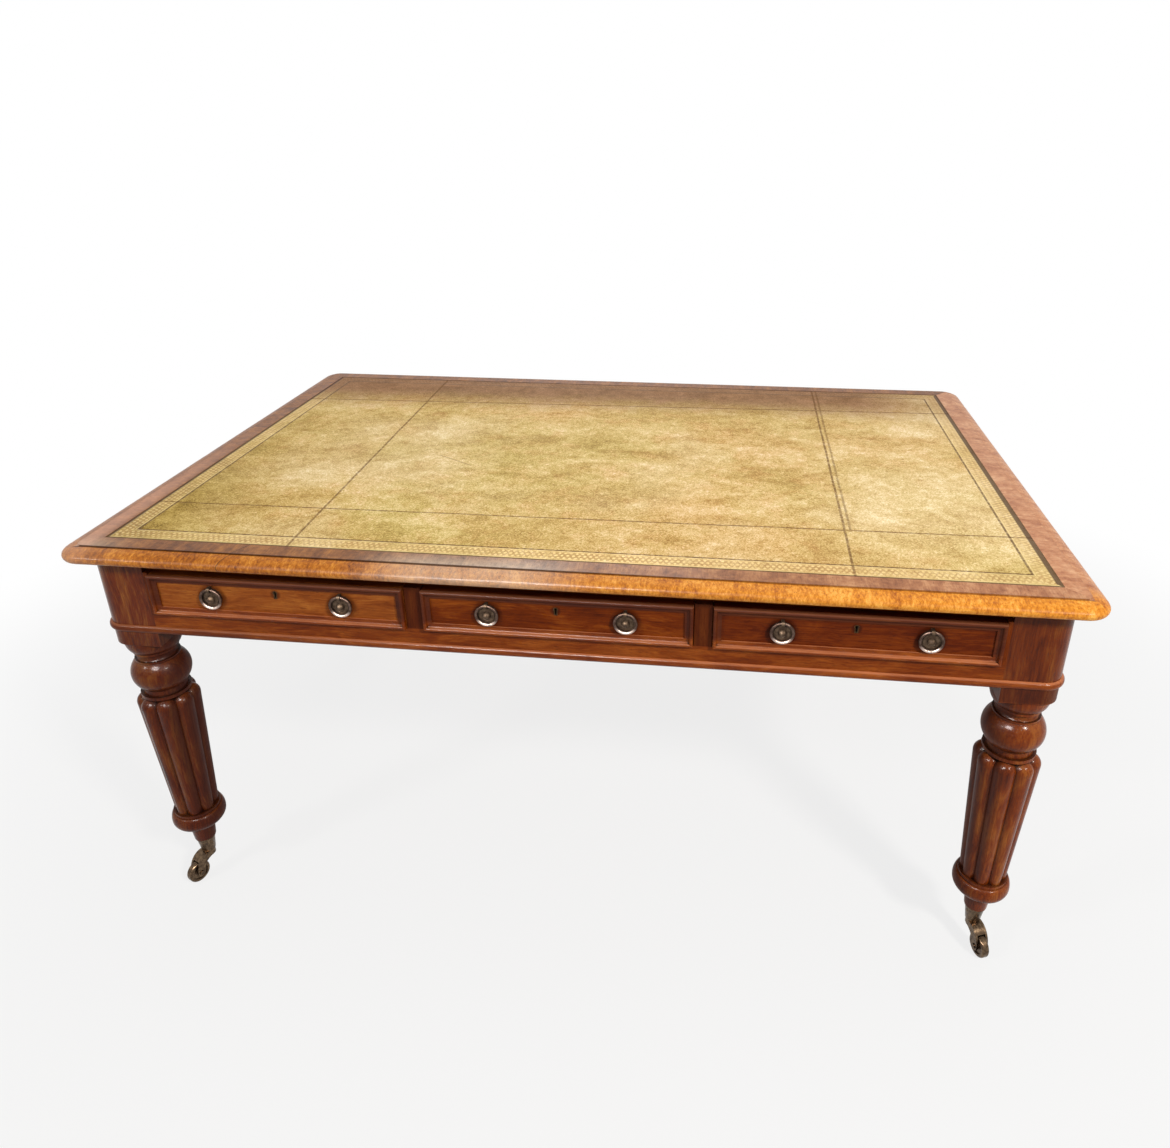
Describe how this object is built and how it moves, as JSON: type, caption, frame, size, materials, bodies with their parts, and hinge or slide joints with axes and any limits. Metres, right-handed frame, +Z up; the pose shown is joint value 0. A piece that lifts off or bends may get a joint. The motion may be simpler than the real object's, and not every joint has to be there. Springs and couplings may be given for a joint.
{
  "type": "library table",
  "caption": "Library table with a leather top in a moulded wooden border, a row of frieze drawers with ring pulls, turned and lobed legs, and brass castors.",
  "frame": {"origin": "on the floor under the middle of the table top", "axes": "+X along the table's length, -Y towards the person at the drawers, +Z up"},
  "size_m": [1.6, 1.045, 0.74],
  "materials": {
    "border_mahogany": "polished",
    "frieze_mahogany": "polished",
    "leg_mahogany": "polished",
    "inner_pine": "bare",
    "drawer_oak": "bare",
    "gilt_leather": "waxed, gilt tooled band",
    "aged_brass": "worn, dull",
    "lock_brass": "dull"
  },
  "bodies": {
    "table_frame": {"top_panel": "inner_pine", "top_border_front": "border_mahogany", "top_border_back": "border_mahogany", "top_border_ends": "border_mahogany", "leather_inset": "gilt_leather", "front_rail": "frieze_mahogany", "front_top_rail": "frieze_mahogany", "back_frieze": "frieze_mahogany", "end_frieze_left": "frieze_mahogany", "end_frieze_right": "frieze_mahogany", "drawer_uprights": "frieze_mahogany", "drawer_runners": "inner_pine", "drawer_stops": "inner_pine", "frieze_beads": "frieze_mahogany", "glue_blocks": "inner_pine", "castor_cups": "aged_brass", "castor_screws": "aged_brass", "leg_front_left": "leg_mahogany", "leg_front_right": "leg_mahogany", "leg_back_left": "leg_mahogany", "leg_back_right": "leg_mahogany"},
    "drawer_left": {"drawer_left_front": "frieze_mahogany", "drawer_left_moulding": "frieze_mahogany", "drawer_left_sides": "drawer_oak", "drawer_left_back": "drawer_oak", "drawer_left_bottom": "drawer_oak", "drawer_left_lock": "lock_brass", "drawer_left_roses": "aged_brass"},
    "drawer_left_ring_left": {"drawer_left_ring_left": "aged_brass"},
    "drawer_left_ring_right": {"drawer_left_ring_right": "aged_brass"},
    "drawer_centre": {"drawer_centre_front": "frieze_mahogany", "drawer_centre_moulding": "frieze_mahogany", "drawer_centre_sides": "drawer_oak", "drawer_centre_back": "drawer_oak", "drawer_centre_bottom": "drawer_oak", "drawer_centre_lock": "lock_brass", "drawer_centre_roses": "aged_brass"},
    "drawer_centre_ring_left": {"drawer_centre_ring_left": "aged_brass"},
    "drawer_centre_ring_right": {"drawer_centre_ring_right": "aged_brass"},
    "drawer_right": {"drawer_right_front": "frieze_mahogany", "drawer_right_moulding": "frieze_mahogany", "drawer_right_sides": "drawer_oak", "drawer_right_back": "drawer_oak", "drawer_right_bottom": "drawer_oak", "drawer_right_lock": "lock_brass", "drawer_right_roses": "aged_brass"},
    "drawer_right_ring_left": {"drawer_right_ring_left": "aged_brass"},
    "drawer_right_ring_right": {"drawer_right_ring_right": "aged_brass"},
    "castor_front_left": {"castor_horn_front_left": "aged_brass", "castor_axle_front_left": "aged_brass"},
    "castor_wheel_front_left": {"castor_wheel_front_left": "aged_brass"},
    "castor_front_right": {"castor_horn_front_right": "aged_brass", "castor_axle_front_right": "aged_brass"},
    "castor_wheel_front_right": {"castor_wheel_front_right": "aged_brass"},
    "castor_back_left": {"castor_horn_back_left": "aged_brass", "castor_axle_back_left": "aged_brass"},
    "castor_wheel_back_left": {"castor_wheel_back_left": "aged_brass"},
    "castor_back_right": {"castor_horn_back_right": "aged_brass", "castor_axle_back_right": "aged_brass"},
    "castor_wheel_back_right": {"castor_wheel_back_right": "aged_brass"}
  },
  "joints": [
    {"name": "drawer_left_slide", "type": "slide", "parent": "table_frame", "child": "drawer_left", "axis": [0, -1, 0], "range_m": [0, 0.38]},
    {"name": "drawer_left_ring_left_swing", "type": "hinge", "parent": "drawer_left", "child": "drawer_left_ring_left", "pos_m": [-0.56217, -0.4949, 0.66975], "axis": [-1, 0, 0], "range_deg": [0, 150]},
    {"name": "drawer_left_ring_right_swing", "type": "hinge", "parent": "drawer_left", "child": "drawer_left_ring_right", "pos_m": [-0.34517, -0.4949, 0.66975], "axis": [-1, 0, 0], "range_deg": [0, 150]},
    {"name": "drawer_centre_slide", "type": "slide", "parent": "table_frame", "child": "drawer_centre", "axis": [0, -1, 0], "range_m": [0, 0.38]},
    {"name": "drawer_centre_ring_left_swing", "type": "hinge", "parent": "drawer_centre", "child": "drawer_centre_ring_left", "pos_m": [-0.1085, -0.4949, 0.66975], "axis": [-1, 0, 0], "range_deg": [0, 150]},
    {"name": "drawer_centre_ring_right_swing", "type": "hinge", "parent": "drawer_centre", "child": "drawer_centre_ring_right", "pos_m": [0.1085, -0.4949, 0.66975], "axis": [-1, 0, 0], "range_deg": [0, 150]},
    {"name": "drawer_right_slide", "type": "slide", "parent": "table_frame", "child": "drawer_right", "axis": [0, -1, 0], "range_m": [0, 0.38]},
    {"name": "drawer_right_ring_left_swing", "type": "hinge", "parent": "drawer_right", "child": "drawer_right_ring_left", "pos_m": [0.34517, -0.4949, 0.66975], "axis": [-1, 0, 0], "range_deg": [0, 150]},
    {"name": "drawer_right_ring_right_swing", "type": "hinge", "parent": "drawer_right", "child": "drawer_right_ring_right", "pos_m": [0.56217, -0.4949, 0.66975], "axis": [-1, 0, 0], "range_deg": [0, 150]},
    {"name": "castor_front_left_swivel", "type": "hinge", "parent": "table_frame", "child": "castor_front_left", "pos_m": [-0.7205, -0.443, 0.05], "axis": [0, 0, 1], "continuous": true},
    {"name": "castor_wheel_front_left_roll", "type": "hinge", "parent": "castor_front_left", "child": "castor_wheel_front_left", "pos_m": [-0.7327, -0.47041, 0.021], "axis": [0.9135, -0.4067, 0], "continuous": true},
    {"name": "castor_front_right_swivel", "type": "hinge", "parent": "table_frame", "child": "castor_front_right", "pos_m": [0.7205, -0.443, 0.05], "axis": [0, 0, 1], "continuous": true},
    {"name": "castor_wheel_front_right_roll", "type": "hinge", "parent": "castor_front_right", "child": "castor_wheel_front_right", "pos_m": [0.73076, -0.47119, 0.021], "axis": [0.9397, 0.342, 0], "continuous": true},
    {"name": "castor_back_left_swivel", "type": "hinge", "parent": "table_frame", "child": "castor_back_left", "pos_m": [-0.7205, 0.443, 0.05], "axis": [0, 0, 1], "continuous": true},
    {"name": "castor_wheel_back_left_roll", "type": "hinge", "parent": "castor_back_left", "child": "castor_wheel_back_left", "pos_m": [-0.74648, 0.458, 0.021], "axis": [-0.5, -0.866, 0], "continuous": true},
    {"name": "castor_back_right_swivel", "type": "hinge", "parent": "table_frame", "child": "castor_back_right", "pos_m": [0.7205, 0.443, 0.05], "axis": [0, 0, 1], "continuous": true},
    {"name": "castor_wheel_back_right_roll", "type": "hinge", "parent": "castor_back_right", "child": "castor_wheel_back_right", "pos_m": [0.74769, 0.45568, 0.021], "axis": [-0.4226, 0.9063, 0], "continuous": true}
  ]
}
